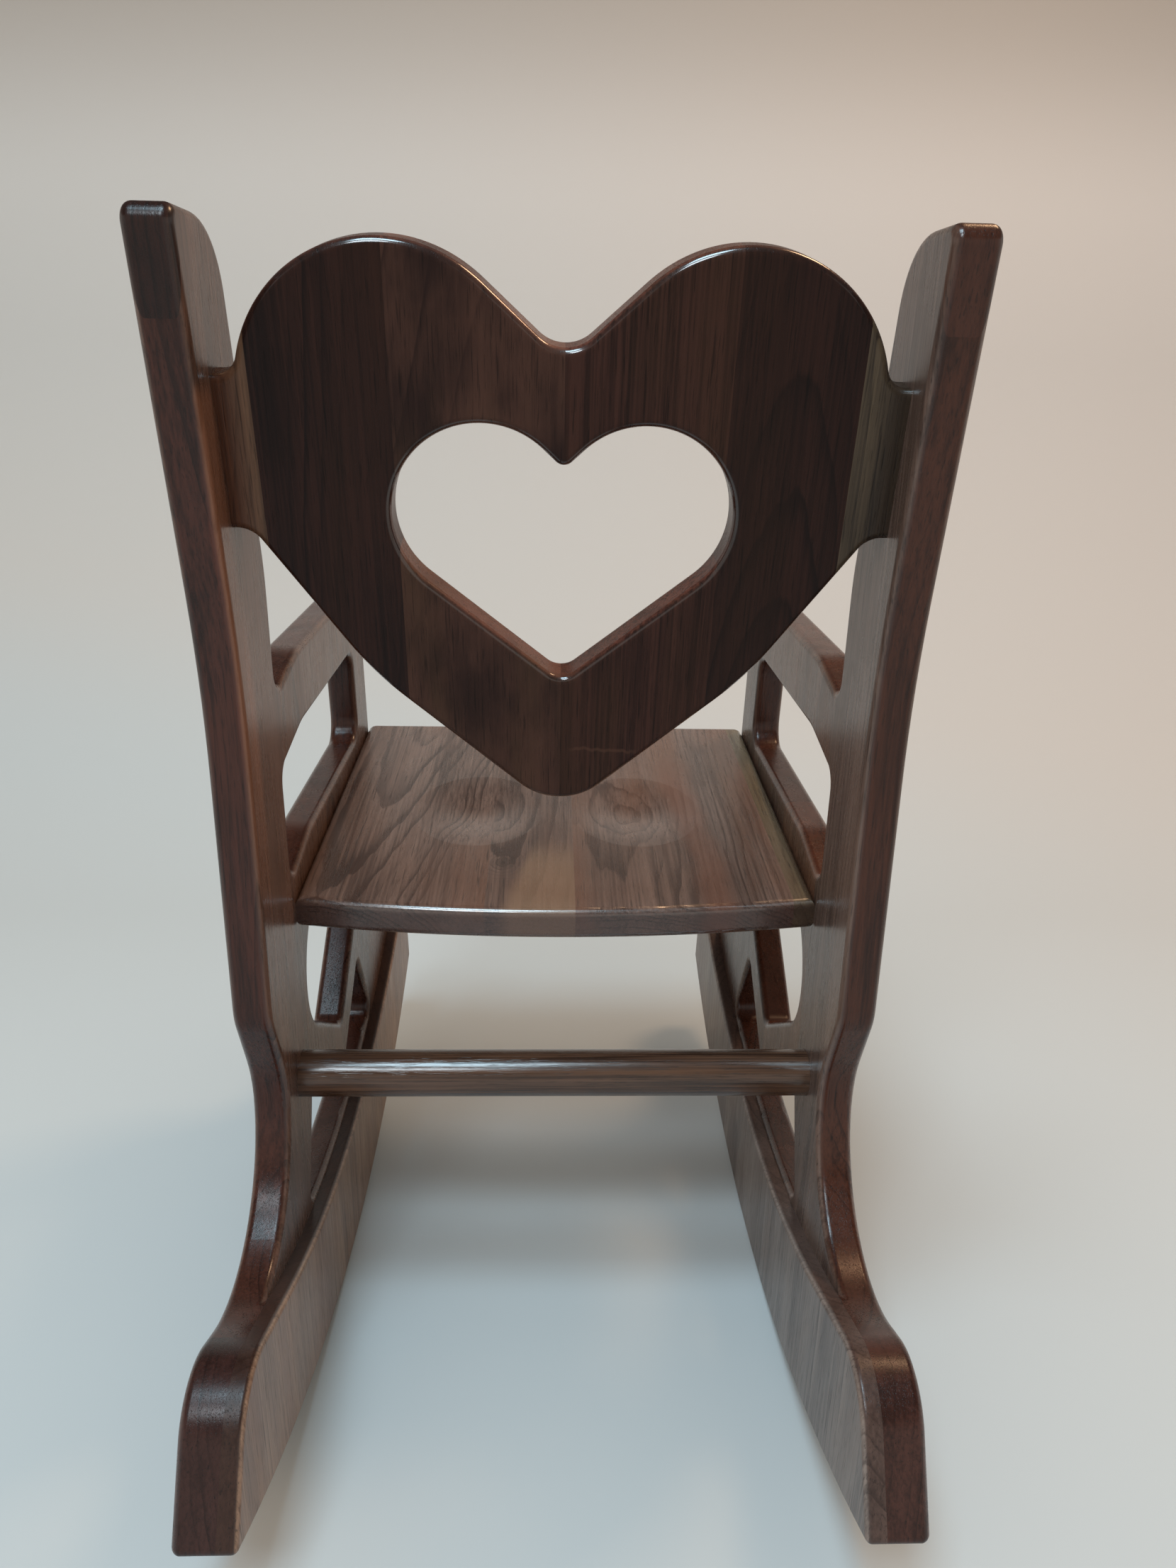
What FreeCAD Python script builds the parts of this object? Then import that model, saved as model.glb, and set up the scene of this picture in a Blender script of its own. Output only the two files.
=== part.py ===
import FreeCAD, Part
import math
import os

from FreeCAD import Vector

# A child's rocking chair with a heart-shaped back, cut from glued-up walnut boards.
# It is drawn level over its rocking point: X to the chair's left, Y to the back, Z up from the
# floor. At the end it leans back to where it comes to rest, and its base is centred.
# Lengths are in millimetres and angles in degrees. A reach is a distance along Y from the
# rocking point.

# Boards
seat_width = 280.0
panel_thickness = 19.0
lining_thickness = 9.0
back_thickness = 19.0
seat_thickness = 18.0
panel_edge_radius = 4.0
lining_edge_radius = 3.0
back_edge_radius = 3.5
seat_edge_radius = 4.5

# Rockers
rocker_radius = 675.0
rocker_depth = 77.0
rocker_low_reach = 20.0
rocker_back_straight = 60.0
rocker_front_straight = 40.0
lining_reveal = 3.0
heel_reach = 330.0
heel_hump_reach = 282.0
heel_hump_height = 139.0
heel_hump_radius = 32.0
toe_reach = 238.0
toe_hump_reach = 211.0
toe_hump_height = 110.0
toe_hump_radius = 20.0
rocker_corner_radius = 3.0
cove_straight = 15.0

# Back posts
chair_height = 600.0
post_reach = 175.0
post_depth = 58.0
post_rake = 30.5
post_bend_height = 385.0
post_bend_radius = 400.0
post_front_height = 445.0
post_front_radius = 100.0
post_top_radius = 7.0
crown_radius = 33.0
crown_share = 0.52
knee_height = 250.0
knee_radius = 30.0
knee_swell = 5.0
waist_inset = 12.5
waist_height = 188.0

# Arms and front posts
arm_height = 404.0
arm_depth = 41.0
arm_dip = 8.0
arm_dip_run = 58.0
arm_dip_radius = 80.0
arm_back_radius = 10.0
arm_front_radius = 20.0
window_height = 301.0
window_back_radius = 9.5
window_front_radius = 13.0
front_post_reach = 131.5
front_post_depth = 44.0
front_post_flare = 13.5
front_knee_height = 245.0
front_knee_radius = 30.0
front_waist_inset = 14.0
front_waist_height = 167.0

# Heart and arch below the seat
web_reach = 22.5
side_heart_top = 258.0
side_lobe_reach = 37.5
side_lobe_radius = 41.0
side_heart_height = 114.5
side_tip_radius = 9.0
arch_web_height = 109.0
arch_web_radius = 9.0
arch_back_peak_reach = 103.0
arch_back_peak_height = 156.0
arch_back_peak_radius = 9.0
arch_front_peak_reach = 41.0
arch_front_peak_height = 150.0
arch_front_peak_radius = 7.0
arch_back_foot_reach = 123.0
arch_front_foot_reach = 67.0
arch_foot_radius = 9.0

# Upright boards of a side, from the back: where the first glue line stands, and the widths
heel_glue_reach = 264.0
foot_board_width = 64.0
post_board_width = 89.0
side_board_width = 88.0
side_board_count = 3

# Heart back, up and across on its rear face from a point at back_height
back_height = 520.0
back_inset = 19.0
lobe_reach = 72.0
lobe_height = 13.0
lobe_radius = 60.0
heart_notch_radius = 16.0
heart_notch_straight = 29.0
heart_drop = 173.0
heart_tip_radius = 29.0
flank_radius = 150.0
flank_reach = 86.0
flank_drop = 105.0
flank_angle = 49.0
ear_reach = 140.0
ear_flat = 1.5
ear_top_radius = 9.0
ear_bottom_radius = 12.0
ear_drop = 40.0
cutout_top = 5.2
cutout_drop = 107.5
cutout_lobe_reach = 34.5
cutout_lobe_radius = 38.2
cutout_tip_radius = 10.0
small_notch_radius = 5.0
small_notch_straight = 7.0
left_ear_width = 14.5
right_ear_width = 20.0
left_side_reach = 70.0
right_side_reach = 67.5

# Seat
seat_front_height = 294.0
seat_front_reach = 145.0
seat_length = 261.0
seat_bow = 12.0
seat_corner_radius = 6.0
seat_slope = 3.0
hollow_reach = 49.0
hollow_setback = 148.0
hollow_depth = 5.5
hollow_rim = 0.4
hollow_width = 50.0
hollow_length = 62.0
hollow_spread_share = 1.2
hollow_columns = 25
hollow_rows = 15
seat_left_board_width = 101.0
seat_middle_board_width = 48.5
seat_sap_board_width = 12.0

# Stretcher and dowel pins
stretcher_diameter = 25.4
stretcher_reach = 130.0
stretcher_height = 180.0
stretcher_tenon = 10.0
pin_diameter = 8.0
pin_in_panel = 11.0
pin_in_board = 19.0
pin_clearance = 0.1
pin_end_clearance = 0.5
back_pin_above = 9.0
back_pin_below = 26.0
seat_pin_first = 42.0
seat_pin_spacing = 85.0
seat_pin_count = 3

# One overrun serves every cutting tool, and points this close are one point
overrun = 5.0
touching = 0.001

half_seat = seat_width / 2
CONVEX = 1.0
HOLLOW = -1.0


# Outlines: bends of (across, up, radius, turn) joined by straight tangent lines, counterclockwise

def tangent(a, b):
    """Ends and heading of the line that leaves bend a and meets bend b; touching bends share a point."""
    (ay, az, a_radius, a_turn), (by, bz, b_radius, b_turn) = a, b
    away = math.atan2(bz - az, by - ay)
    lift = (b_turn * b_radius - a_turn * a_radius) / math.hypot(by - ay, bz - az)
    heading = away - math.asin(max(-1.0, min(1.0, lift)))
    side = (math.sin(heading), -math.cos(heading))
    start = (ay + side[0] * a_turn * a_radius, az + side[1] * a_turn * a_radius)
    end = (by + side[0] * b_turn * b_radius, bz + side[1] * b_turn * b_radius)
    if math.dist(start, end) < touching:
        end = start
    return start, end, heading


def middle_of_bend(bend, heading_in, heading_out):
    """Point half way round a bend."""
    across, up, radius, turn = bend
    sweep = (heading_out - heading_in) * turn % (2 * math.pi)
    heading = heading_in + turn * sweep / 2
    return across + math.sin(heading) * turn * radius, up - math.cos(heading) * turn * radius


def face_within(bends):
    """Face in the YZ plane inside a ring of bends; a bend without radius is a sharp corner."""
    following = bends[1:] + bends[:1]
    joints = [tangent(bend, after) for bend, after in zip(bends, following)]
    edges = []
    for bend, joint, leaving in zip(following, joints, joints[1:] + joints[:1]):
        start, end = Vector(0, *joint[0]), Vector(0, *joint[1])
        if start != end:
            edges.append(Part.LineSegment(start, end).toShape())
        if bend[2] > 0:
            middle = Vector(0, *middle_of_bend(bend, joint[2], leaving[2]))
            edges.append(Part.Arc(end, middle, Vector(0, *leaving[0])).toShape())
    return Part.Face(Part.Wire(Part.__sortEdges__(edges)))


def prism(bends, low, high):
    """Solid with the outline of a ring of bends, between two places across it."""
    return face_within(bends).translated(Vector(low, 0, 0)).extrude(Vector(high - low, 0, 0))


def rounded(solid, places, radius):
    """The solid with the edges of its faces at the given X places rounded, but for butted ends."""
    edges = []
    for edge in solid.Edges:
        box = edge.BoundBox
        on_face = any(abs(box.XMin - x) + abs(box.XMax - x) < touching for x in places)
        butted = min(abs(box.YMin - y) + abs(box.YMax - y) for y in (half_seat, -half_seat)) < touching
        if on_face and not butted:
            edges.append(edge)
    return solid.makeFillet(radius, edges)


def split(solid, axis, places):
    """Boards of a glued-up solid: for each stretch between the places, its solids from the top down."""
    far = chair_height + heel_reach
    ends = [-far] + sorted(places) + [far]
    boards = []
    for low, high in zip(ends, ends[1:]):
        corner = Vector(-far, -far, -far)
        size = Vector(2 * far, 2 * far, 2 * far)
        corner[axis] = low
        size[axis] = high - low
        pieces = solid.common(Part.makeBox(size.x, size.y, size.z, corner)).Solids
        boards.append(sorted(pieces, key=lambda piece: -piece.CenterOfMass.z))
    return boards


def mirrored(shape):
    return shape.mirror(Vector(0, 0, 0), Vector(1, 0, 0))


def shifted(bends, across):
    return [(y + across, z, radius, turn) for y, z, radius, turn in bends]


def heart(lobe, tip, tip_radius, notch_radius, notch_straight, shoulder=()):
    """Bends of a heart about its middle line, from the tip, with any more bends up its right side."""
    reach, height, radius, turn = lobe
    rise = math.sqrt((radius + notch_radius) ** 2 + notch_straight ** 2 - reach ** 2)
    right = list(shoulder) + [lobe]
    left = [(-y, z, size, way) for y, z, size, way in reversed(right)]
    notch = (0, height + rise, notch_radius, HOLLOW)
    return [(0, tip + tip_radius, tip_radius, CONVEX)] + right + [notch] + left


# Bends that the side outlines share

def rocker_corner(reach):
    """The bottom corner at one end of a rocker, tucked against its round sole."""
    inside = rocker_radius - rocker_corner_radius
    return (reach, rocker_radius - math.sqrt(inside ** 2 - reach ** 2), rocker_corner_radius, CONVEX)


def cove(waist, height, hump):
    """Hollow bend from the waist of a leg down to a hump on the rocker, with a short straight."""
    reach, up, radius, turn = hump
    away = abs(reach - waist)
    drop = height - up
    size = (away ** 2 + drop ** 2 - radius ** 2 - cove_straight ** 2) / (2 * (away + radius))
    return (waist + math.copysign(size, reach), height, size, HOLLOW)


def rocker_top(hump, straight):
    """Hollow bend along the top of a rocker, from its lowest point up to a hump."""
    reach, up, radius, turn = hump
    away = abs(reach - rocker_low_reach)
    rise = up - rocker_depth
    size = (away ** 2 + rise ** 2 - radius ** 2 - straight ** 2) / (2 * (radius + rise))
    return (rocker_low_reach, rocker_depth + size, size, HOLLOW)


sole = (0, rocker_radius, rocker_radius, CONVEX)
heel_corner = rocker_corner(heel_reach - rocker_corner_radius)
toe_corner = rocker_corner(rocker_corner_radius - toe_reach)
heel_hump = (heel_hump_reach, heel_hump_height - heel_hump_radius, heel_hump_radius, CONVEX)
toe_hump = (-toe_hump_reach, toe_hump_height - toe_hump_radius, toe_hump_radius, CONVEX)
back_top = rocker_top(heel_hump, rocker_back_straight)
front_top = rocker_top(toe_hump, rocker_front_straight)
post_front = post_reach - post_depth
post_bend = (post_reach + post_bend_radius, post_bend_height, post_bend_radius, HOLLOW)
post_crest = post_reach + post_rake
post_top = (post_crest - post_top_radius, chair_height - post_top_radius, post_top_radius, CONVEX)
front_knee_reach = front_post_reach + front_post_flare


def front_post_face(height):
    """Y of the front face of a front post, which leans forward on its way down."""
    top = arm_height - arm_front_radius
    return -front_post_reach - front_post_flare * (top - height) / (top - front_knee_height)


# Side frames

def side_bends():
    crown_reach = post_crest - crown_share * post_depth
    return [
        sole,
        heel_corner,
        heel_hump,
        cove(post_reach - waist_inset, waist_height, heel_hump),
        (post_reach + knee_swell - knee_radius, knee_height, knee_radius, CONVEX),
        post_bend,
        post_top,
        (crown_reach, chair_height - crown_radius, crown_radius, CONVEX),
        (post_front + post_front_radius, post_front_height, post_front_radius, CONVEX),
        (post_front - arm_back_radius, arm_height - arm_dip + arm_back_radius, arm_back_radius, HOLLOW),
        (post_front - arm_dip_run, arm_height - arm_dip_radius, arm_dip_radius, CONVEX),
        (arm_front_radius - front_post_reach, arm_height - arm_front_radius, arm_front_radius, CONVEX),
        (front_knee_radius - front_knee_reach, front_knee_height, front_knee_radius, CONVEX),
        cove(front_waist_inset - front_knee_reach, front_waist_height, toe_hump),
        toe_hump,
        toe_corner,
    ]


def window_bends():
    """The opening between arm and rail, whose top and bottom both dip towards the back post."""
    dip = post_front - arm_dip_run
    back = post_front - window_back_radius
    top = arm_height - arm_depth
    low = window_height + window_front_radius
    high = top - window_front_radius
    inset = front_post_depth + window_front_radius
    return [
        (front_post_face(low) + inset, low, window_front_radius, CONVEX),
        (dip, window_height - arm_dip_radius, arm_dip_radius, HOLLOW),
        (back, window_height - arm_dip + window_back_radius, window_back_radius, CONVEX),
        (back, top - arm_dip - window_back_radius, window_back_radius, CONVEX),
        (dip, top - arm_dip_radius, arm_dip_radius, CONVEX),
        (front_post_face(high) + inset, high, window_front_radius, CONVEX),
    ]


def side_heart_bends():
    lobe = (side_lobe_reach, side_heart_top - side_lobe_radius, side_lobe_radius, CONVEX)
    tip = side_heart_top - side_heart_height
    return shifted(heart(lobe, tip, side_tip_radius, small_notch_radius, small_notch_straight), web_reach)


def arch_foot(floor, reach):
    """A bottom corner of the arch, tucked against its curved floor."""
    across, up, radius, turn = floor
    drop = math.sqrt((radius - arch_foot_radius) ** 2 - (reach - across) ** 2)
    return (reach, up - drop, arch_foot_radius, CONVEX)


def arch_bends():
    """The opening above the rocker, whose two peaks stand either side of the heart's tip."""
    back_floor, front_floor = [(y, z, radius - lining_reveal, CONVEX)
                               for y, z, radius, turn in (back_top, front_top)]
    back_peak = arch_back_peak_height - arch_back_peak_radius
    front_peak = arch_front_peak_height - arch_front_peak_radius
    return [
        back_floor,
        arch_foot(back_floor, arch_back_foot_reach),
        (arch_back_peak_reach, back_peak, arch_back_peak_radius, CONVEX),
        (web_reach, arch_web_height + arch_web_radius, arch_web_radius, HOLLOW),
        (-arch_front_peak_reach, front_peak, arch_front_peak_radius, CONVEX),
        arch_foot(front_floor, -arch_front_foot_reach),
        front_floor,
    ]


def backed_region():
    """The part of a side that the lining backs, where the side's inner edge stays square."""
    far = chair_height
    lines = (heel_hump_reach - heel_hump_radius, toe_hump_radius - toe_hump_reach)
    low = Vector(0, rocker_low_reach, rocker_depth)
    arcs = []
    for (across, up, radius, turn), line in zip((back_top, front_top), lines):
        arcs.append([Vector(0, reach, up - math.sqrt(radius ** 2 - (reach - across) ** 2))
                     for reach in (line, (across + line) / 2)])
    corners = [arcs[1][0], Vector(0, lines[1], far), Vector(0, -far, far), Vector(0, -far, -far),
               Vector(0, far, -far), Vector(0, far, far), Vector(0, lines[0], far), arcs[0][0]]
    edges = [Part.LineSegment(a, b).toShape() for a, b in zip(corners, corners[1:])]
    edges += [Part.Arc(end, middle, low).toShape() for end, middle in arcs]
    face = Part.Face(Part.Wire(Part.__sortEdges__(edges)))
    face.translate(Vector(half_seat - overrun, 0, 0))
    return face.extrude(Vector(panel_thickness + 2 * overrun, 0, 0))


def side_blank():
    """The left side before it is drilled: openings cut, and every edge that shows rounded."""
    outer = half_seat + panel_thickness
    blank = prism(side_bends(), half_seat, outer)
    for bends in (window_bends(), side_heart_bends(), arch_bends()):
        blank = blank.cut(prism(bends, half_seat - overrun, outer + overrun))
    region = backed_region()
    square = rounded(blank, [outer], panel_edge_radius).common(region)
    round_over = rounded(blank, [half_seat, outer], panel_edge_radius).cut(region)
    return square.fuse(round_over).removeSplitter()


def side_boards(drills):
    """The upright boards of the left side, cut apart at their glue lines."""
    side = side_blank()
    for drill in drills:
        side = side.cut(drill)
    lines = [heel_glue_reach, heel_glue_reach - foot_board_width]
    lines.append(lines[-1] - post_board_width)
    lines += [lines[-1] - number * side_board_width for number in range(1, side_board_count + 1)]
    names = [["toe"], ["front_post"], ["arm_front", "rail_front", "rocker_front"],
             ["arm_back", "rail_back", "rocker_back"], ["post"], ["post_tip", "foot"], ["heel"]]
    boards = {}
    for row, pieces in zip(names, split(side, 1, lines)):
        boards.update(zip(row, pieces))
    return boards


def lining():
    """The inner layer of the left rocker."""
    inner = half_seat - lining_thickness
    bends = [sole, heel_corner, heel_hump, back_top, front_top, toe_hump, toe_corner]
    return rounded(prism(bends, inner, half_seat), [inner], lining_edge_radius)


# Back board and seat, each made flat in its own frame: X through it, Y across, Z along it

def board_frame(reach, height, lean):
    """Place of a flat board that runs along the chair at a lean from upright."""
    along = Vector(0, math.sin(lean), math.cos(lean))
    across = Vector(1, 0, 0)
    turn = FreeCAD.Rotation(across.cross(along), across, along, "XYZ")
    return FreeCAD.Placement(Vector(0, reach, height), turn)


def back_frame():
    """Place of the back board's rear face: parallel to the back edge of the posts, and inside it."""
    start, end = tangent(post_bend, post_top)[:2]
    lean = math.atan2(start[0] - end[0], start[1] - end[1]) % math.pi
    reach = start[0] + (back_height - start[1]) * math.tan(lean) - back_inset / math.cos(lean)
    return board_frame(reach, back_height, lean)


def seat_frame():
    """Place of the seat's top face: it falls to the back from the front edge."""
    return board_frame(-seat_front_reach, seat_front_height, math.radians(90 + seat_slope))


def back_blank():
    """The heart back, its rear face at no depth; its ears run on until the posts cut them off."""
    ear = ear_reach - ear_flat
    far = ear_reach + half_seat
    span = lobe_radius + ear_top_radius + touching
    ear_top = lobe_height + math.sqrt(span ** 2 - (ear - lobe_reach) ** 2)
    angle = math.radians(flank_angle)
    flank = (flank_reach - flank_radius * math.sin(angle), flank_radius * math.cos(angle) - flank_drop)
    shoulder = [
        (*flank, flank_radius, CONVEX),
        (ear, -ear_drop - ear_bottom_radius, ear_bottom_radius, HOLLOW),
        (far, -ear_drop, 0, CONVEX),
        (far, ear_top - ear_top_radius, 0, CONVEX),
        (ear, ear_top, ear_top_radius, HOLLOW),
    ]
    lobe = (lobe_reach, lobe_height, lobe_radius, CONVEX)
    outside = heart(lobe, -heart_drop, heart_tip_radius, heart_notch_radius, heart_notch_straight, shoulder)
    lobe = (cutout_lobe_reach, cutout_top - cutout_lobe_radius, cutout_lobe_radius, CONVEX)
    inside = heart(lobe, -cutout_drop, cutout_tip_radius, small_notch_radius, small_notch_straight)
    board = prism(outside, 0, back_thickness).cut(prism(inside, -overrun, back_thickness + overrun))
    corner = Vector(0, -half_seat, -chair_height)
    between = Part.makeBox(back_thickness, seat_width, 2 * chair_height, corner)
    return rounded(board.common(between), [0, back_thickness], back_edge_radius)


def hollows():
    """What is scooped out of the seat: two soft round hollows under one smooth surface."""
    half_width = hollow_reach + hollow_spread_share * hollow_width
    half_length = hollow_spread_share * hollow_length
    rows = []
    for row in range(hollow_rows):
        along = half_length * (2 * row / (hollow_rows - 1) - 1)
        points = []
        for column in range(hollow_columns):
            across = half_width * (2 * column / (hollow_columns - 1) - 1)
            sink = sum(math.exp(-(2 * (across - centre) / hollow_width) ** 2
                                - (2 * along / hollow_length) ** 2)
                       for centre in (-hollow_reach, hollow_reach))
            points.append(Vector(hollow_rim - hollow_depth * sink, across, hollow_setback + along))
        rows.append(points)
    surface = Part.BSplineSurface()
    surface.interpolate(rows)
    return surface.toShape().extrude(Vector(hollow_depth + overrun, 0, 0))


def seat_blank():
    """The seat, its top face at no depth and its front edge at no length, bowed at the back."""
    corner = half_seat - seat_corner_radius
    bow = (half_seat ** 2 + seat_bow ** 2) / (2 * seat_bow)
    bends = [
        (-corner, seat_corner_radius, seat_corner_radius, CONVEX),
        (corner, seat_corner_radius, seat_corner_radius, CONVEX),
        (half_seat, seat_length, 0, CONVEX),
        (0, seat_length + seat_bow - bow, bow, CONVEX),
        (-half_seat, seat_length, 0, CONVEX),
    ]
    board = rounded(prism(bends, -seat_thickness, 0), [-seat_thickness, 0], seat_edge_radius)
    return board.cut(hollows())


# Round parts across the chair

def rods(places, diameter, low, high):
    return [Part.makeCylinder(diameter / 2, high - low, Vector(low, y, z), Vector(1, 0, 0))
            for y, z in places]


def places_on(frame, runs, depth):
    """Side places of points part way through a board."""
    points = [frame.multVec(Vector(depth, 0, run)) for run in runs]
    return [(point.y, point.z) for point in points]


def pins(places):
    return rods(places, pin_diameter, half_seat - pin_in_board, half_seat + pin_in_panel)


def pin_holes(places):
    low = half_seat - pin_in_board - pin_end_clearance
    high = half_seat + pin_in_panel + pin_end_clearance
    return rods(places, pin_diameter + 2 * pin_clearance, low, high)


def drilled(board, holes):
    for hole in holes:
        board = board.cut(hole).cut(mirrored(hole))
    return board


def chair():
    """Every node of the chair, drawn level."""
    back_runs = [back_pin_above, -back_pin_below]
    seat_runs = [seat_pin_first + number * seat_pin_spacing for number in range(seat_pin_count)]
    back_places = places_on(back_frame(), back_runs, back_thickness / 2)
    seat_places = places_on(seat_frame(), seat_runs, -seat_thickness / 2)
    stretcher_place = [(stretcher_reach, stretcher_height)]
    end = half_seat + stretcher_tenon
    mortise = rods(stretcher_place, stretcher_diameter + 2 * pin_clearance,
                   half_seat - overrun, end + pin_end_clearance)
    nodes = {"stretcher": rods(stretcher_place, stretcher_diameter, -end, end)[0]}
    pairs = side_boards(mortise + pin_holes(back_places + seat_places))
    pairs["rocker_lining"] = lining()
    pairs["back_pins"] = Part.Compound(pins(back_places))
    pairs["seat_pins"] = Part.Compound(pins(seat_places))
    for name, piece in pairs.items():
        nodes["left_" + name] = piece
        nodes["right_" + name] = mirrored(piece)
    back = back_blank()
    back.Placement = back_frame()
    lines = [right_ear_width - half_seat, -right_side_reach, 0, left_side_reach, half_seat - left_ear_width]
    names = [["right_ear"], ["right_side"], ["right_lobe", "right_point"],
             ["left_lobe", "left_point"], ["left_side"], ["left_ear"]]
    for row, pieces in zip(names, split(drilled(back, pin_holes(back_places)), 0, lines)):
        nodes.update(("heart_" + name, piece) for name, piece in zip(row, pieces))
    seat = seat_blank()
    seat.Placement = seat_frame()
    joint = half_seat - seat_left_board_width
    lines = [seat_sap_board_width - half_seat, joint - seat_middle_board_width, joint]
    names = [["seat_sap_board"], ["seat_right_board"], ["seat_middle_board"], ["seat_left_board"]]
    for row, pieces in zip(names, split(drilled(seat, pin_holes(seat_places)), 0, lines)):
        nodes.update(zip(row, pieces))
    return nodes


def at_rest(nodes):
    """Lean the chair until its weight hangs under the centre of its rockers, then centre its base."""
    volume = sum(piece.Volume for piece in nodes.values())
    weight = Vector(0, 0, 0)
    for piece in nodes.values():
        for solid in piece.Solids:
            weight += solid.CenterOfMass * (solid.Volume / volume)
    lean = math.degrees(math.atan2(weight.y, rocker_radius - weight.z))
    print("leans back", round(lean, 2), "degrees from level")
    about_x = FreeCAD.Rotation(Vector(1, 0, 0), -lean)
    turn = FreeCAD.Placement(Vector(0, 0, 0), about_x, Vector(0, 0, rocker_radius))
    for piece in nodes.values():
        piece.Placement = turn.multiply(piece.Placement)
    box = Part.Compound(list(nodes.values())).optimalBoundingBox()
    for piece in nodes.values():
        piece.translate(Vector(0, -box.Center.y, 0))
    print("moved", round(-box.Center.y, 2), "along Y, size", box)
    return nodes


os.makedirs("parts", exist_ok=True)
for name, piece in at_rest(chair()).items():
    piece.exportStep("parts/" + name + ".step")
    print(name, len(piece.Solids), piece.isValid(), round(piece.Volume))
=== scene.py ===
import math
import bpy
from mathutils import Matrix, Vector

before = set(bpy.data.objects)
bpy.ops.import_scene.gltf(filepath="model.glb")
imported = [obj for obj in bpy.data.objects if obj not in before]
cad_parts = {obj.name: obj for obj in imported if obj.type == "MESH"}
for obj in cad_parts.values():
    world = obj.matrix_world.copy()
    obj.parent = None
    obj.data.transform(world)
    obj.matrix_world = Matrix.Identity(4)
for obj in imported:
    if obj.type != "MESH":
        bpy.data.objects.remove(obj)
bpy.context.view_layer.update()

# A child's rocking chair in dark walnut, seen from behind and a little above.
# Lengths are in metres in the chair's own frame: X to its left, Y to its back, Z up from the
# floor. In a board's own frame, used by its grain, lengths are in millimetres.

# The photograph's camera: its place, the way it looks, its tilt in degrees and its lens.
# The photograph stands upright, so the film's long side is its height.
camera_place = Vector((0.00536, 0.636667, 0.487013))
camera_aim = Vector((-0.036308, -0.963135, -0.266558))
camera_roll = -1.036
camera_lens = 24.9656
film_height = 36.0

# Millimetres in a metre
millimetres = 1000

# How far the chair's parts lean back, in degrees: its sides, its heart and its seat
side_lean = 5.53
heart_lean = 15.57
seat_fall = 8.53

# Where the grain of the heart, the seat and the stretcher is measured from: about their middles
heart_middle = Vector((0, 0.148, 0.458))
seat_middle = Vector((0, -0.035, 0.285))
rod_middle = Vector((0, 0.0945, 0.17))


# Nodes: a tone is a socket, and an expression on tones adds its Math nodes

class Tone:
    """One output of a finish's nodes, to be used in sums."""

    def __init__(self, finish, socket):
        self.finish = finish
        self.socket = socket

    def maths(self, operation, *others):
        inputs = dict(enumerate((self,) + others))
        return self.finish.node("Math", inputs, operation=operation)

    def __add__(self, other):
        return self.maths("ADD", other)

    def __sub__(self, other):
        return self.maths("SUBTRACT", other)

    def __mul__(self, other):
        return self.maths("MULTIPLY", other)

    def __truediv__(self, other):
        return self.maths("DIVIDE", other)

    def __pow__(self, other):
        return self.maths("POWER", other)

    def __rsub__(self, other):
        return self.finish.node("Math", {0: other, 1: self}, operation="SUBTRACT")

    __radd__ = __add__
    __rmul__ = __mul__

    def between(self, low, high):
        """0 below low, 1 above high, and smooth from one to the other."""
        inputs = {"Value": self, "From Min": low, "From Max": high}
        return self.finish.node("MapRange", inputs, interpolation_type="SMOOTHSTEP")

    def within(self, middle, core, reach):
        """1 up to core away from a middle, and smooth down to 0 at its reach."""
        return 1 - (self - middle).maths("ABSOLUTE").between(core, reach)

    def swing(self, amount):
        """A noise turned into a change of up to half an amount either way."""
        return (self - 0.5) * amount


class Finish:
    """The nodes of a material, or of the world."""

    def __init__(self, owner):
        self.owner = owner
        owner.use_nodes = True
        self.tree = owner.node_tree
        self.tree.nodes.clear()

    def node(self, kind, inputs, output=0, **settings):
        """A node's output, with its settings made first and then its sockets filled or joined."""
        made = self.tree.nodes.new("ShaderNode" + kind)
        for name, value in settings.items():
            setattr(made, name, value)
        for name, value in inputs.items():
            if isinstance(value, Tone):
                self.tree.links.new(value.socket, made.inputs[name])
            else:
                made.inputs[name].default_value = value
        return Tone(self, made.outputs[output]) if made.outputs else None

    def run(self, place, axis, start):
        """How far a place lies along an axis from a start, in millimetres."""
        inputs = {0: place, 1: tuple(millimetres * part for part in axis)}
        whole = self.node("VectorMath", inputs, output="Value", operation="DOT_PRODUCT")
        return whole - millimetres * Vector(axis).dot(start)

    def runs(self, axes, start):
        """How far each point of the object lies along each axis from a start."""
        place = self.node("TexCoord", {}, output="Object")
        return [self.run(place, axis, start) for axis in axes]

    def noise(self, runs, kind, seed):
        """Cloudy noise from 0 to 1. Its kind is its scale along each run, its seed and detail."""
        scales, own_seed, detail = kind
        parts = [run * scale for run, scale in zip(runs, scales)]
        point = self.node("CombineXYZ", dict(enumerate(parts)))
        inputs = {"Vector": point, "W": seed + own_seed, "Scale": 1.0, "Detail": detail}
        return self.node("TexNoise", inputs, output="Fac", noise_dimensions="4D")

    def facing(self, axis):
        """1 where a surface faces along an axis, either way, and 0 where it faces square to it."""
        normal = self.node("TexCoord", {}, output="Normal")
        inputs = {0: normal, 1: tuple(axis)}
        share = self.node("VectorMath", inputs, output="Value", operation="DOT_PRODUCT")
        return share.maths("ABSOLUTE")

    def mixed(self, under, over, amount, blend="MIX"):
        """One colour laid over another."""
        inputs = {0: amount, 6: under, 7: over}
        return self.node("Mix", inputs, output=2, data_type="RGBA", blend_type=blend)

    def bump(self, height, depth):
        """A normal from a height between 0 and 1, that stands for a depth in metres."""
        return self.node("Bump", {"Height": height, "Distance": depth, "Strength": 1.0})

    def surface(self, inputs):
        shader = self.node("BsdfPrincipled", inputs)
        self.node("OutputMaterial", {"Surface": shader})
        return self.owner


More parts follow.
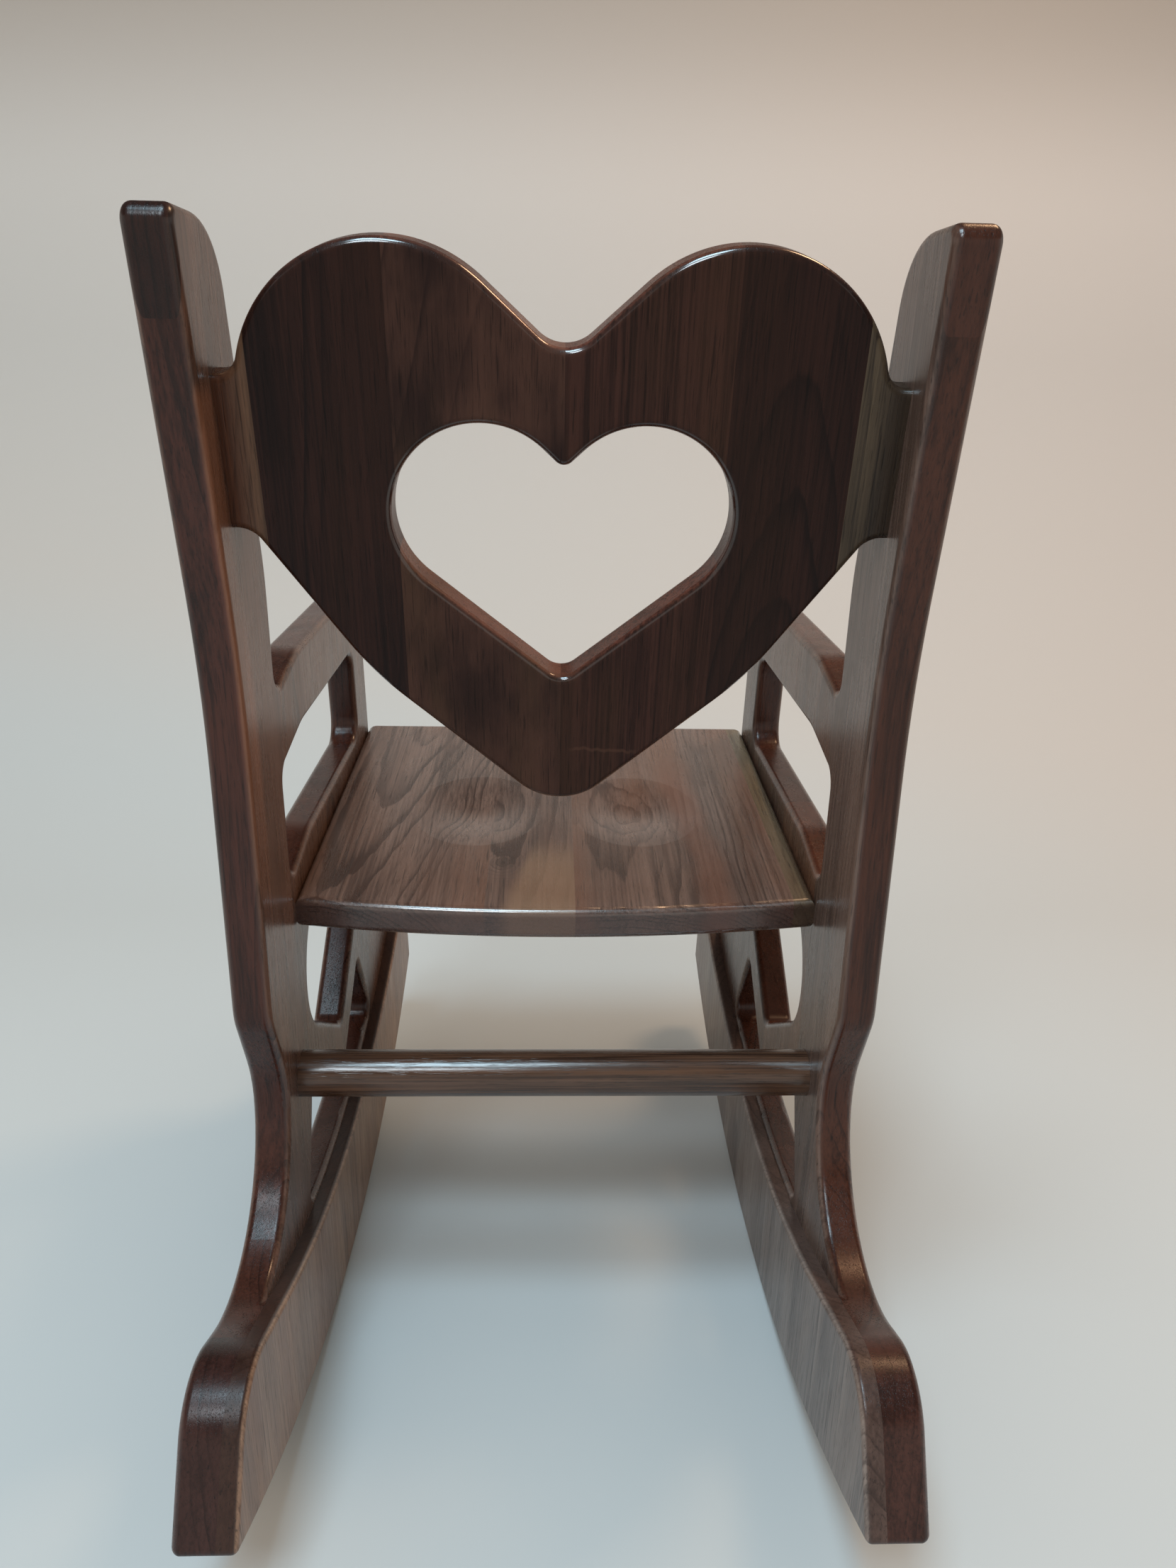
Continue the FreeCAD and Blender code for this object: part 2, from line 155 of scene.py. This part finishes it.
def tint(red, green, blue):
    """A colour from its three parts out of 255, as a screen shows them."""
    parts = []
    for part in (red, green, blue):
        share = part / 255
        parts.append(share / 12.92 if share <= 0.04045 else ((share + 0.055) / 1.055) ** 2.4)
    return (*parts, 1.0)


# Boards: axes along the grain, across it and through the board, and where they start

def board_axes(lean):
    """Upright board that leans back: the axis along its grain, and the one to its back."""
    angle = math.radians(lean)
    along = Vector((0, math.sin(angle), math.cos(angle)))
    back = Vector((0, math.cos(angle), -math.sin(angle)))
    return along, back


side_along, side_back = board_axes(side_lean)
heart_along, heart_back = board_axes(heart_lean)
seat_up, seat_along = board_axes(seat_fall)
left = Vector((1, 0, 0))

# The seat lies flat: what is up in an upright board goes through it, and its grain runs back
side_frame = ((side_along, side_back, left), Vector((0, 0, 0)))
heart_frame = ((heart_along, left, heart_back), heart_middle)
seat_frame = ((seat_along, left, seat_up), seat_middle)
rod_frame = ((left, side_back, side_along), rod_middle)


# Walnut

# The noises in the wood: how fast each changes in a millimetre along the grain, across it and
# through the board, then its own seed and its detail
wood_noises = {
    "drift": ((0.0035, 0.012, 0.012), 0.0, 2.0),
    "shiver": ((0.012, 0.09, 0.09), 7.0, 2.0),
    "wide_band": ((0.0016, 0.05, 0.05), 11.0, 2.0),
    "band": ((0.003, 0.16, 0.16), 12.0, 3.0),
    "fibre": ((0.009, 0.75, 0.75), 13.0, 3.0),
    "cloud": ((0.016, 0.034, 0.034), 17.0, 4.0),
    "short_pore": ((0.11, 2.1, 2.1), 19.0, 2.0),
    "long_pore": ((0.045, 1.2, 1.2), 23.0, 1.0),
    "polish": ((0.02, 0.06, 0.06), 29.0, 3.0),
    "hue": ((0.005, 0.028, 0.028), 37.0, 3.0),
}
shiver_depth = 3.0

# A year line: a thin dark end of each year on a soft slope, weaker in some years than in others
year_noise = ((0.37, 0.0, 0.0), 3.0, 1.0)
line_sharpness = 6.0
line_share = 1.6
line_end = 0.93
slope_sharpness = 1.6
slope_share = 0.25
weak_year = 0.35
strong_year = 0.8

# How much each thing in the wood shades it, from light at 0 to dark at 1
middle_shade = 0.45
line_shade = 2.0
wide_band_shade = 1.6
band_shade = 1.7
fibre_shade = 1.7
cloud_shade = 1.8
hue_range = (0.42, 0.72)

# Pores: the ranges of their noises where they open, how dark they are, and how dark they get
short_pore_range = (0.56, 0.72)
short_pore_share = 0.6
long_pore_range = (0.60, 0.72)
long_pore_share = 0.7
most_pore = 0.8
pore_cover = 0.75

# The lacquered surface: how much of its relief comes from the wood, and how its gloss varies
flat_relief = 0.7
pore_relief = 0.45
fibre_relief = 0.3
line_relief = 0.1
relief_depth = 0.0001
polish_change = 0.12
pore_roughness = 0.10
lacquer_bend = 1.5
rim_bend = 1.65
rim_roughness = 0.12

# How squarely a surface faces through its board: on an edge, where painted light and shade go, on a
# rounded rim, on the flat
edge_light_and_shade_range = (0.35, 0.75)
rim_start = (0.15, 0.35)
rim_stop = (0.86, 0.95)


def year_lines(finish, runs, grain, seed, pith, ring, taper, wave, slant):
    """How dark the year lines make the wood, round a pith that lies beyond the board."""
    along, across, deep = runs
    side = across - pith[0] + along * slant + grain["drift"].swing(2 * wave)
    below = deep - pith[1]
    radius = (side * side + below * below) ** 0.5 + along * taper
    turn = (radius + grain["shiver"].swing(shiver_depth)) / ring
    year = turn.maths("FRACT")
    thin = (year ** line_sharpness) * (1 - year.between(line_end, 1.0)) * line_share
    late = thin + (year ** slope_sharpness) * slope_share
    strength = finish.noise((turn, turn, turn), year_noise, seed)
    return late * strength.between(weak_year, strong_year)


def walnut(name, grain_frame, pith, tones, seed, ring=4.2, taper=0.03, wave=7.0, slant=0.0,
           lines=0.35, bands=0.4, fibre=0.8, cloud=0.4, cast=0.4, rough=0.27, gloss=0.35,
           edge_light_and_shade=None, rims=0.85, mark=None):
    """Lacquered walnut of one board.

    Of the year lines, pith is where their middle lies across and through the board, ring how
    wide a year is, taper and slant how fast they widen and how fast they cross the board as
    they run along it, and wave how far they bend. Lines, bands, fibre, cloud and cast, the
    change of hue, are how strong each is. Rough and gloss are the lacquer's. The edge's light
    and shade is what the colour is multiplied by on the board's edges: a painted shade where it
    darkens them, a painted light where it lightens them. Rims is how glossy its rounded rims
    are, and mark a function that draws what this board alone has.
    """
    finish = Finish(bpy.data.materials.new(name))
    axes, start = grain_frame
    runs = finish.runs(axes, start)
    light, dark, pore, warm = tones
    grain = {}
    for kind in wood_noises:
        grain[kind] = finish.noise(runs, wood_noises[kind], seed)
    late = year_lines(finish, runs, grain, seed, pith, ring, taper, wave, slant)
    pores = grain["short_pore"].between(*short_pore_range) * short_pore_share
    pores = pores + grain["long_pore"].between(*long_pore_range) * long_pore_share

    shade = middle_shade + late * lines * line_shade
    shade = shade + grain["wide_band"].swing(wide_band_shade * bands)
    shade = shade + grain["band"].swing(band_shade * bands)
    shade = shade + grain["fibre"].swing(fibre_shade * fibre)
    shade = shade + grain["cloud"].swing(cloud_shade * cloud)
    colour = finish.mixed(light, dark, shade.between(0.0, 1.0))
    colour = finish.mixed(colour, warm, grain["hue"].between(*hue_range) * cast)
    colour = finish.mixed(colour, pore, pores.maths("MINIMUM", most_pore) * pore_cover)
    if mark:
        colour = mark(finish, runs, colour, seed)
    facing = finish.facing(axes[2])
    # Painted light and shade on the board's edges: darkened on the sides and the seat, lightened on
    # the heart
    if edge_light_and_shade:
        colour = finish.mixed(colour, edge_light_and_shade, 1 - facing.between(*edge_light_and_shade_range), "MULTIPLY")

    relief = flat_relief - pores * pore_relief + grain["fibre"].swing(fibre_relief)
    relief = relief - late * line_relief
    worn = rough + grain["polish"].swing(polish_change) + pores * pore_roughness
    rim = facing.between(*rim_start) * (1 - facing.between(*rim_stop))
    return finish.surface({
        "Base Color": colour, "Roughness": worn, "Normal": finish.bump(relief, relief_depth),
        "IOR": lacquer_bend, "Specular IOR Level": gloss, "Coat Weight": rim * rims,
        "Coat Roughness": rim_roughness, "Coat IOR": rim_bend,
    })


# Colours of the wood: where it is light, where it is dark, in its pores, and the hue in its clouds
side_tones = (tint(86, 64, 54), tint(46, 32, 27), tint(16, 10, 8), tint(84, 57, 46))
left_side_tones = (tint(99, 72, 60), tint(54, 38, 31), tint(18, 11, 9), tint(96, 65, 51))
right_post_tones = (tint(106, 86, 77), tint(62, 48, 43), tint(18, 12, 10), tint(96, 74, 62))
heel_tones = (tint(88, 67, 62), tint(50, 36, 33), tint(16, 11, 10), tint(82, 60, 54))
rail_tones = (tint(108, 78, 62), tint(62, 42, 33), tint(24, 15, 11), tint(104, 70, 52))
tip_tones = (tint(62, 41, 34), tint(36, 23, 19), tint(14, 9, 7), tint(58, 34, 27))
heart_dark_tones = (tint(45, 25, 20), tint(23, 12, 10), tint(9, 5, 4), tint(43, 25, 16))
heart_brown_tones = (tint(69, 46, 38), tint(37, 23, 20), tint(14, 9, 8), tint(67, 50, 35))
heart_red_tones = (tint(58, 35, 29), tint(32, 18, 15), tint(11, 6, 5), tint(56, 37, 26))
left_ear_tones = (tint(104, 77, 59), tint(54, 38, 29), tint(20, 13, 10), tint(84, 60, 43))
right_ear_tones = (tint(84, 71, 56), tint(44, 36, 30), tint(20, 15, 12), tint(66, 57, 42))
seat_tones = (tint(113, 91, 81), tint(65, 49, 43), tint(26, 18, 14), tint(104, 72, 56))
seat_sap_tones = (tint(104, 88, 68), tint(74, 59, 45), tint(34, 25, 18), tint(90, 78, 56))
# The linings' tones are painted light: raised, warm on the left and cool on the right, for the
# light their inner faces catch
left_lining_lit_tones = (tint(152, 122, 100), tint(96, 72, 58), tint(40, 28, 21), tint(140, 98, 72))
right_lining_lit_tones = (tint(136, 122, 114), tint(90, 78, 73), tint(36, 28, 24), tint(114, 94, 82))
rod_tones = (tint(90, 65, 50), tint(40, 26, 19), tint(12, 7, 5), tint(82, 56, 42))
beech_tones = (tint(190, 150, 105), tint(150, 112, 74), tint(110, 78, 50), tint(180, 134, 92))

# Painted shade: what the colour of a board is multiplied by on its edges, which lie in shade, the
# linings' top edges most
left_edge_shade = (0.46, 0.31, 0.29, 1.0)
right_edge_shade = (0.60, 0.37, 0.30, 1.0)
left_post_edge_shade = (0.44, 0.26, 0.235, 1.0)
right_post_edge_shade = (0.39, 0.19, 0.125, 1.0)
left_lining_edge_shade = (0.15, 0.11, 0.115, 1.0)
right_lining_edge_shade = (0.36, 0.27, 0.25, 1.0)
seat_edge_shade = (0.48, 0.40, 0.41, 1.0)
# Painted light: the heart's edges are lightened for the light they catch and the pale wall they
# reflect
heart_edge_light = (2.4, 2.0, 1.8, 1.0)

# And the painted shade the heart's ears are multiplied by in the corner where they reach the posts
left_ear_shade = (0.60, 0.42, 0.38, 1.0)
right_ear_shade = (0.40, 0.37, 0.40, 1.0)


# Marks of single boards. Places and widths are in millimetres of the board's own frame, and a
# range is where something begins and where it is whole.

streak_noise = ((0.012, 0.0, 0.0), 31.0, 2.0)
knot_noise = ((0.03, 0.05, 0.05), 41.0, 3.0)
ripple_noise = ((0.0, 0.12, 0.0), 43.0, 3.0)
wedge_noise = ((0.02, 0.0, 0.0), 47.0, 2.0)


def copper_streak(finish, runs, colour, seed):
    """A streak down the inner rear corner of the left post, which bends back as it rises."""
    along, across, deep = runs
    copper = tint(150, 96, 68)
    cover = 0.45
    inner_face = 138.0
    sway_depth = 6.0
    depth_fade = 3.0
    rear_corner = 123.0
    post_bend = 405.0
    post_slope = 0.157
    width_range = (12.0, 24.0)
    low_range = (250.0, 420.0)
    high_range = (530.0, 540.0)

    sway = finish.noise(runs, streak_noise, seed)
    near = 1 - (deep - (inner_face + sway * sway_depth)).between(0.0, depth_fade)
    rear = (along - post_bend).maths("MAXIMUM", 0.0) * post_slope + rear_corner
    near = near * (1 - (rear - across).between(*width_range))
    ends = along.between(*low_range) * (1 - along.between(*high_range))
    return finish.mixed(colour, copper, near * ends * cover)


def seat_knot(finish, runs, colour, seed):
    """A knot with dark rings near the back of the seat, and a pale wedge beside it."""
    along, across = runs[:2]
    ring_colour = tint(40, 26, 20)
    heart_colour = tint(34, 23, 18)
    wedge_colour = tint(136, 110, 88)
    knot_along = 84.0
    knot_across = 31.0
    knot_stretch = 0.75
    knot_sway = 9.0
    ring_width = 2.6
    ring_sharpness = 4.0
    ring_reach = (3.0, 24.0)
    ring_cover = 0.7
    heart_reach = (1.0, 9.0)
    heart_cover = 0.6
    wedge_tip = 44.0
    wedge_across = 7.0
    wedge_spread = 0.25
    wedge_sway = 7.0
    wedge_fade = (0.6, 1.05)
    wedge_start = (48.0, 90.0)
    wedge_cover = 0.6

    sway = finish.noise(runs, knot_noise, seed)
    away = (((along - knot_along) * knot_stretch) ** 2.0 + (across - knot_across) ** 2.0) ** 0.5
    away = away + sway.swing(knot_sway)
    rings = (away / ring_width).maths("FRACT") ** ring_sharpness
    ringed = (1 - away.between(*ring_reach)) * rings * ring_cover
    colour = finish.mixed(colour, ring_colour, ringed)
    colour = finish.mixed(colour, heart_colour, (1 - away.between(*heart_reach)) * heart_cover)
    width = (along - wedge_tip) * wedge_spread + sway * wedge_sway
    wedge = 1 - ((across - wedge_across) / width).between(*wedge_fade)
    wedge = wedge * along.between(*wedge_start)
    return finish.mixed(colour, wedge_colour, wedge * wedge_cover)


def seat_streaks(finish, runs, colour, seed):
    """A dark wedge along the board's left edge and a red streak near its right edge."""
    along, across = runs[:2]
    dark_colour = tint(58, 42, 35)
    red_colour = tint(112, 68, 50)
    left_joint = 7.0
    dark_width = (2.0, 7.5)
    dark_start = (45.0, 80.0)
    dark_cover = 0.7
    streak_across = -82.0
    streak_slant = 0.05
    streak_sway = 16.0
    streak_width = (3.0, 15.0)
    streak_start = (-90.0, -20.0)
    streak_cover = 0.45

    sway = finish.noise(runs, wedge_noise, seed)
    dark = (1 - (left_joint - across).between(*dark_width)) * along.between(*dark_start)
    colour = finish.mixed(colour, dark_colour, dark * dark_cover)
    middle = streak_across - along * streak_slant + sway.swing(streak_sway)
    red = across.within(middle, *streak_width) * along.between(*streak_start)
    return finish.mixed(colour, red_colour, red * streak_cover)


def ear_corner_shade(finish, runs, colour, seed):
    """Painted shade in the corner where each ear meets its post: the left ear darkens and
    reddens toward its post, the right ear turns dark and grey.
    """
    across = runs[1]
    left_range = (124.0, 138.0)
    right_range = (123.0, 135.0)
    colour = finish.mixed(colour, left_ear_shade, across.between(*left_range), "MULTIPLY")
    return finish.mixed(colour, right_ear_shade, (0.0 - across).between(*right_range), "MULTIPLY")


def tip_ripple(finish, runs, colour, seed):
    """A crosswise ripple in the grain near the heart's tip."""
    along, across = runs[:2]
    ripple_colour = tint(82, 56, 44)
    ripple_along = -95.0
    ripple_sway = 7.0
    ripple_width = (0.3, 1.3)
    right_end = (-40.0, -30.0)
    left_end = (-9.0, -2.0)
    ripple_cover = 0.4

    sway = finish.noise(runs, ripple_noise, seed)
    ripple = along.within(ripple_along - sway.swing(ripple_sway), *ripple_width)
    ends = across.between(*right_end) * (1 - across.between(*left_end))
    return finish.mixed(colour, ripple_colour, ripple * ends * ripple_cover)


# Boards of the heart, the seat and the stretcher: the frame of the grain, the place of the pith
# across and through the board, the tones, and what the board has its own way

# The heart's boards get a painted light on their edges
heart_board = dict(gloss=0.14, edge_light_and_shade=heart_edge_light)
left_lobe = dict(gloss=0.11, edge_light_and_shade=heart_edge_light, ring=8.0, taper=0.12, wave=30.0, slant=0.15,
                 lines=0.35, bands=0.1, fibre=0.3, cloud=1.6, cast=0.7)
right_lobe = dict(gloss=0.12, edge_light_and_shade=heart_edge_light, wave=3.0, lines=0.08, bands=0.22, fibre=1.5,
                  cloud=0.4, cast=0.5)
heart_ear = dict(gloss=0.2, lines=0.3, bands=1.0, mark=ear_corner_shade)
# The seat's boards get a painted shade on their edges
seat_board = dict(gloss=0.75, edge_light_and_shade=seat_edge_shade)

boards = {
    "heart_left_ear": (heart_frame, (90, -40), left_ear_tones, dict(heart_ear, slant=0.12)),
    "heart_left_side": (heart_frame, (40, -75), heart_dark_tones,
                        dict(heart_board, slant=0.05, bands=0.9)),
    "heart_left_lobe": (heart_frame, (30, -22), heart_brown_tones, left_lobe),
    "heart_left_point": (heart_frame, (30, -22), heart_brown_tones, left_lobe),
    "heart_right_lobe": (heart_frame, (-130, -60), heart_red_tones, right_lobe),
    "heart_right_point": (heart_frame, (-130, -60), heart_red_tones,
                          dict(right_lobe, mark=tip_ripple)),
    "heart_right_side": (heart_frame, (-95, -34), heart_dark_tones,
                         dict(heart_board, taper=0.09, wave=5.0, bands=0.3)),
    "heart_right_ear": (heart_frame, (-80, -50), right_ear_tones, heart_ear),
    "seat_left_board": (seat_frame, (112, -70), seat_tones,
                        dict(seat_board, ring=3.0, slant=-0.12, lines=0.6, bands=0.35, cast=0.6)),
    "seat_middle_board": (seat_frame, (34, -110), seat_tones,
                          dict(seat_board, ring=2.6, taper=0.03, wave=16.0, lines=0.6,
                               bands=0.25, cloud=0.6, mark=seat_knot)),
    "seat_right_board": (seat_frame, (-30, -140), seat_tones,
                         dict(seat_board, ring=2.4, taper=0.015, wave=12.0, lines=0.7,
                              bands=0.35, cast=0.8, mark=seat_streaks)),
    "seat_sap_board": (seat_frame, (-60, -40), seat_sap_tones, dict(seat_board, lines=0.2)),
    "stretcher": (rod_frame, (6, -60), rod_tones,
                  dict(ring=6.0, taper=0.02, lines=0.2, bands=0.25, fibre=1.1, cloud=0.5,
                       rough=0.18, gloss=0.58, rims=0.0)),
}

# The wood of a side's boards: the tones and the painted edge shade of each kind, on the left and
# the right
side_woods = {
    "left": {
        "plain": (left_side_tones, dict(edge_light_and_shade=left_edge_shade)),
        "heel": (heel_tones, dict(edge_light_and_shade=left_edge_shade)),
        "rail": (rail_tones, dict(edge_light_and_shade=left_edge_shade)),
        "tip": (tip_tones, dict(edge_light_and_shade=left_edge_shade)),
        "post": (left_side_tones, dict(edge_light_and_shade=left_post_edge_shade, mark=copper_streak)),
        "lining": (left_lining_lit_tones, dict(edge_light_and_shade=left_lining_edge_shade)),
    },
    "right": {
        "plain": (side_tones, dict(edge_light_and_shade=right_edge_shade)),
        "heel": (heel_tones, dict(edge_light_and_shade=right_edge_shade)),
        "rail": (rail_tones, dict(edge_light_and_shade=right_edge_shade)),
        "tip": (side_tones, dict(edge_light_and_shade=right_edge_shade)),
        "post": (right_post_tones, dict(edge_light_and_shade=right_post_edge_shade)),
        "lining": (right_lining_lit_tones, dict(edge_light_and_shade=right_lining_edge_shade)),
    },
}

# Boards of one side: the place of the pith across the board and out from the chair's middle,
# the kind of wood, and what the board has its own way
side_boards = {
    "heel": ((232, 60), "heel", dict(wave=9.0, bands=0.6, cloud=0.5)),
    "foot": ((150, 45), "plain", dict(taper=0.05)),
    "post_tip": ((150, 90), "tip", dict(taper=0.02)),
    "post": ((210, 70), "post", dict(taper=0.035, bands=0.8, fibre=1.0)),
    "arm_back": ((40, 60), "rail", dict(taper=0.05)),
    "rail_back": ((30, 260), "rail", dict(taper=0.04)),
    "rocker_back": ((20, 240), "plain", dict(taper=0.05)),
    "arm_front": ((-60, 90), "rail", dict(taper=0.04)),
    "rail_front": ((-40, 70), "plain", dict(taper=0.06)),
    "rocker_front": ((-70, 230), "plain", dict(taper=0.04)),
    "front_post": ((-150, 75), "plain", dict(taper=0.03)),
    "toe": ((-240, 240), "plain", dict(taper=0.05)),
    "rocker_lining": ((-60, 330), "lining",
                      dict(ring=5.0, taper=0.02, lines=0.35, bands=0.45, rough=0.34)),
}

# The sides' rims are duller than the heart's and the seat's
side_rims = 0.2

# Each board gets a seed of its own, so that no two are alike. All pins look the same.
board_seed_step = 3.1
side_seeds = {"left": 100, "right": 150}
side_seed_step = 3.7
pin_seed = 400.0
pin_pith = (20, -20)


def dress(name, material):
    """Give a node of the chair its material."""
    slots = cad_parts[name].data.materials
    slots.clear()
    slots.append(material)


for number, (name, (grain_frame, pith, tones, own)) in enumerate(boards.items()):
    dress(name, walnut("walnut_" + name, grain_frame, pith, tones, board_seed_step * number, **own))

for side, outward in (("left", 1), ("right", -1)):
    for number, (name, ((pith_across, pith_out), wood, own)) in enumerate(side_boards.items()):
        tones, shared = side_woods[side][wood]
        pith = (pith_across, outward * pith_out)
        seed = side_seeds[side] + side_seed_step * number
        name = f"{side}_{name}"
        material = walnut("walnut_" + name, side_frame, pith, tones, seed, rims=side_rims,
                          **shared, **own)
        dress(name, material)

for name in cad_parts:
    if "pins" in name:
        dress(name, walnut("beech_" + name, rod_frame, pin_pith, beech_tones, pin_seed))


# Floor and backdrop: one pale sheet that curves up in front of the chair

sheet_half_width = 3.2
sheet_back = 1.6
sheet_front = 1.25
sheet_bend = 0.7
sheet_top = 1.26
bend_steps = 24


def sweep(name):
    """A floor that turns up into a wall, as one smooth sheet."""
    line = [(sheet_back, 0.0), (sheet_bend - sheet_front, 0.0)]
    for step in range(1, bend_steps + 1):
        angle = math.pi / 2 * step / bend_steps
        depth = sheet_bend - sheet_front - sheet_bend * math.sin(angle)
        line.append((depth, sheet_bend - sheet_bend * math.cos(angle)))
    line.append((-sheet_front, sheet_top))
    points = [(side * sheet_half_width, y, z) for y, z in line for side in (-1, 1)]
    faces = [(2 * row, 2 * row + 1, 2 * row + 3, 2 * row + 2) for row in range(len(line) - 1)]
    mesh = bpy.data.meshes.new(name)
    mesh.from_pydata(points, [], faces)
    for face in mesh.polygons:
        face.use_smooth = True
    made = bpy.data.objects.new(name, mesh)
    bpy.context.scene.collection.objects.link(made)
    return made


# The sheet's colours: cool on the floor, grey up the wall, rosy to the right and dim at the top.
# A rise is a change for each millimetre up, a turn one for each millimetre to the right.
cool_cloth = tint(188, 196, 199)
grey_cloth = tint(194, 194, 192)
grey_start = 0.1
grey_rise = 0.0035
grey_turn = 0.0005
# Painted light: the rosy tint to the right stands for warm light from that side
rosy_lit_cloth = tint(208, 197, 190)
rosy_start = 0.1
rosy_rise = 0.0006
rosy_turn = 0.0004
rosy_cover = 0.55
dim_cloth = tint(150, 141, 132)
dim_range = (900.0, 1260.0)
dim_cover = 0.75


def pale_cloth():
    finish = Finish(bpy.data.materials.new("pale_cloth"))
    x, z = finish.runs(((1, 0, 0), (0, 0, 1)), Vector((0, 0, 0)))
    grey = (z * grey_rise - x * grey_turn + grey_start).between(0.0, 1.0)
    rosy = (rosy_start - x * rosy_turn + z * rosy_rise).between(0.0, 1.0)
    colour = finish.mixed(cool_cloth, grey_cloth, grey)
    colour = finish.mixed(colour, rosy_lit_cloth, rosy * rosy_cover)
    colour = finish.mixed(colour, dim_cloth, z.between(*dim_range) * dim_cover)
    return finish.surface({"Base Color": colour, "Roughness": 0.95, "Specular IOR Level": 0.1})


sweep("backdrop").data.materials.append(pale_cloth())


# Light: a cool lamp above the chair's back, a warm one high at its front right, and a window
# high behind the camera. Each has its place, the point it shines at, its size, its power in
# watts and its colour.

lamps = {
    "key_lamp": ((0.28, 0.8, 2.0), (0, 0, 0.25), (0.6, 0.5), 19.0, (0.62, 0.86, 1.0)),
    "warm_lamp": ((-0.9, -0.5, 1.9), (0, 0.1, 0.3), (0.4, 0.4), 9.0, (1.0, 0.62, 0.36)),
    "window": ((0.45, 1.7, 1.9), (0, 0, 0.2), (0.55, 0.45), 15.0, (0.8, 0.92, 1.0)),
}

for name, (place, aim, size, power, colour) in lamps.items():
    light = bpy.data.lights.new(name, "AREA")
    light.shape = "RECTANGLE"
    light.size, light.size_y = size
    light.energy = power
    light.color = colour
    lamp = bpy.data.objects.new(name, light)
    lamp.location = place
    lamp.rotation_mode = "QUATERNION"
    lamp.rotation_quaternion = (Vector(aim) - Vector(place)).to_track_quat("-Z", "Y")
    bpy.context.scene.collection.objects.link(lamp)

# The room: soft light from all round, and what the camera and the lacquer see of it, which is
# pale, but for the lacquer dim above the walls
pale_room = tint(204, 201, 196)
dim_room = tint(84, 77, 74)
dim_heights = (0.28, 0.42)
daylight = tint(206, 194, 182)
daylight_strength = 1.16

world = bpy.data.worlds.new("room")
bpy.context.scene.world = world
room = Finish(world)
direction = room.node("TexCoord", {}, output="Generated")
height = room.node("SeparateXYZ", {0: direction}, output=2)
camera_ray = room.node("LightPath", {}, output="Is Camera Ray")
mirror_ray = room.node("LightPath", {}, output="Is Glossy Ray")
clear_ray = room.node("LightPath", {}, output="Is Transmission Ray")
seen = camera_ray.maths("MAXIMUM", mirror_ray).maths("MAXIMUM", clear_ray)
above = height.between(*dim_heights) * (1 - camera_ray)
pale = room.node("Background", {"Color": pale_room, "Strength": 1.0})
dim = room.node("Background", {"Color": dim_room, "Strength": 1.0})
shown = room.node("MixShader", {0: above, 1: pale, 2: dim})
lighting = room.node("Background", {"Color": daylight, "Strength": daylight_strength})
both = room.node("MixShader", {0: seen, 1: lighting, 2: shown})
room.node("OutputWorld", {"Surface": both})

# Camera
camera = bpy.data.cameras.new("camera")
camera.sensor_width = film_height
camera.lens = camera_lens
holder = bpy.data.objects.new("camera", camera)
holder.location = camera_place
holder.rotation_mode = "QUATERNION"
tilt = Matrix.Rotation(math.radians(camera_roll), 4, camera_aim).to_quaternion()
holder.rotation_quaternion = tilt @ camera_aim.to_track_quat("-Z", "Y")
bpy.context.scene.collection.objects.link(holder)
bpy.context.scene.camera = holder
bpy.context.scene.view_settings.view_transform = "Standard"
